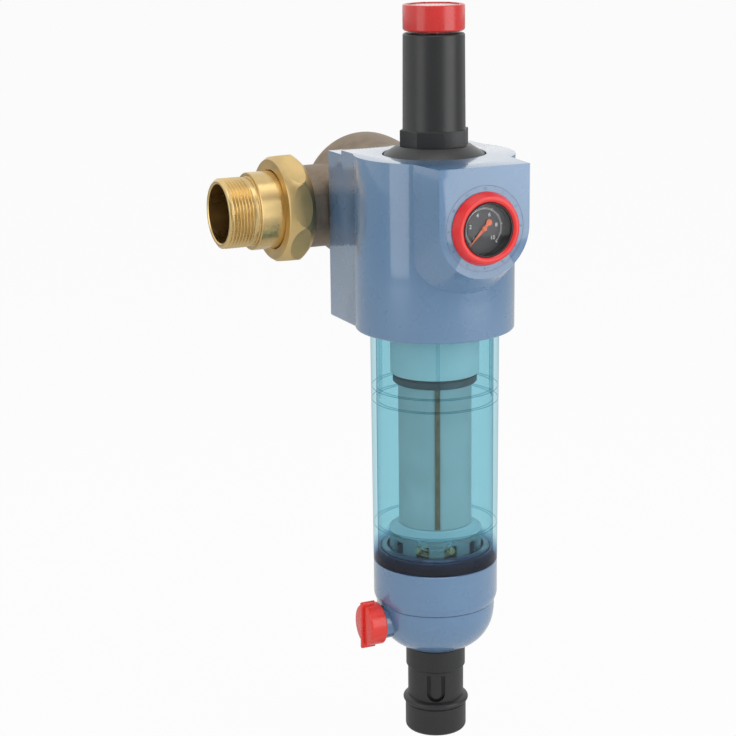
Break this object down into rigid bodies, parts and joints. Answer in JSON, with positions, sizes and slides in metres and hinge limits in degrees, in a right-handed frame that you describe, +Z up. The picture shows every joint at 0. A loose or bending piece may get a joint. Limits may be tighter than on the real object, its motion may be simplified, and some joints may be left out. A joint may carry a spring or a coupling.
{
  "type": "backwash water filter",
  "caption": "Upright clear-bowl backwash filter with pressure reducer, gauge and drain valve on a horizontal pipe flange.",
  "frame": {"origin": "middle of the pipe line, between the two tail ends", "axes": "+X along the pipe, the gauge faces -Y, +Z up along the filter"},
  "size_m": [0.2254, 0.2083, 0.499],
  "materials": {
    "cast_bronze": "cast, dull",
    "rubber": "moulded",
    "screw_steel": "zinc plated",
    "union_brass": "turned and milled",
    "housing_blue": "smooth blue coating",
    "bonnet_black": "satin moulded",
    "cap_red": "smooth moulded",
    "disc_cream": "pale inset",
    "spring_wire": "drawn wire",
    "inner_brass": "turned",
    "cartridge_plastic": "moulded",
    "case_black": "moulded",
    "dial_grey": "printed dial",
    "lens_clear": "clear, polished",
    "needle_orange": "moulded",
    "ring_red": "smooth moulded",
    "bowl_clear": "clear tinted plastic, polished",
    "seal_navy": "moulded",
    "head_white": "moulded",
    "packing_grey": "moulded",
    "sleeve_steel": "fine woven mesh",
    "seam_brown": "soldered seam",
    "bell_clear": "pale clear plastic",
    "guide_clear": "clear plastic",
    "rotor_white": "moulded",
    "ring_blue": "smooth blue coating",
    "cup_blue": "smooth blue coating",
    "ball_chrome": "polished",
    "seat_white": "smooth",
    "knob_red": "smooth moulded",
    "nozzle_black": "satin moulded"
  },
  "bodies": {
    "station": {"ball_seat_lower": "seat_white", "ball_seat_upper": "seat_white", "base_seal": "seal_navy", "bonnet": "bonnet_black", "bowl": "bowl_clear", "bowl_ring": "ring_blue", "bowl_seal": "rubber", "cage_head": "head_white", "diaphragm": "rubber", "drain_cup": "cup_blue", "drain_nozzle": "nozzle_black", "flange_screw_1": "screw_steel", "flange_screw_2": "screw_steel", "flange_screw_3": "screw_steel", "flange_screw_4": "screw_steel", "gauge_case": "case_black", "gauge_dial": "dial_grey", "gauge_lens": "lens_clear", "housing": "housing_blue", "inner_port_seal": "rubber", "outer_port_seal": "rubber", "regulator_spring": "spring_wire", "return_spring": "spring_wire", "standpipe": "inner_brass", "swivel_flange": "cast_bronze", "tail_piece_left": "union_brass", "tail_piece_right": "union_brass", "union_gasket_left": "rubber", "union_gasket_right": "rubber", "union_nut_left": "union_brass", "union_nut_right": "union_brass", "valve_cartridge": "cartridge_plastic"},
    "cap": {"adjusting_cap": "cap_red", "cap_disc": "disc_cream", "adjusting_spindle": "screw_steel"},
    "spring_plate": {"spring_plate": "inner_brass"},
    "valve": {"valve_stem": "inner_brass"},
    "reminder_ring": {"reminder_ring": "ring_red"},
    "needle": {"gauge_needle": "needle_orange"},
    "drain_knob": {"drain_knob": "knob_red", "drain_stem": "screw_steel", "drain_ball": "ball_chrome"},
    "insert": {"packing_ring": "packing_grey", "mesh_sleeve": "sleeve_steel", "seam_strip": "seam_brown", "sleeve_bell": "bell_clear", "guide_ring": "guide_clear"},
    "rotor": {"jet_rotor": "rotor_white"}
  },
  "joints": [
    {"name": "adjusting_turn", "type": "hinge", "parent": "station", "child": "cap", "pos_m": [0, -0.088, 0.13], "axis": [0, 0, 1], "range_deg": [-720, 720]},
    {"name": "spring_plate_travel", "type": "slide", "parent": "station", "child": "spring_plate", "axis": [0, 0, 1], "range_m": [-0.003, 0.003], "deforming": ["regulator_spring"]},
    {"name": "valve_travel", "type": "slide", "parent": "station", "child": "valve", "axis": [0, 0, 1], "range_m": [-0.004, 0], "stiffness_N_per_m": 400, "springref_m": 0.012, "deforming": ["diaphragm"]},
    {"name": "reminder_ring_turn", "type": "hinge", "parent": "station", "child": "reminder_ring", "pos_m": [0, -0.16, 0.005], "axis": [0, 1, 0], "continuous": true},
    {"name": "needle_swing", "type": "hinge", "parent": "station", "child": "needle", "pos_m": [0, -0.16, 0.005], "axis": [0, 1, 0], "range_deg": [0, 270], "stiffness_Nm_per_rad": 0.002},
    {"name": "drain_turn", "type": "hinge", "parent": "station", "child": "drain_knob", "pos_m": [0, -0.088, -0.275], "axis": [1, 0, 0], "range_deg": [0, 90]},
    {"name": "insert_travel", "type": "slide", "parent": "station", "child": "insert", "axis": [0, 0, 1], "range_m": [-0.006, 0], "stiffness_N_per_m": 400, "springref_m": 0.012, "deforming": ["return_spring"]},
    {"name": "rotor_spin", "type": "hinge", "parent": "insert", "child": "rotor", "pos_m": [0, -0.088, -0.16], "axis": [0, 0, 1], "continuous": true}
  ],
  "couplings": [
    {"joint": "adjusting_turn", "follows": "spring_plate_travel", "rad_per_m": 4188.8}
  ]
}
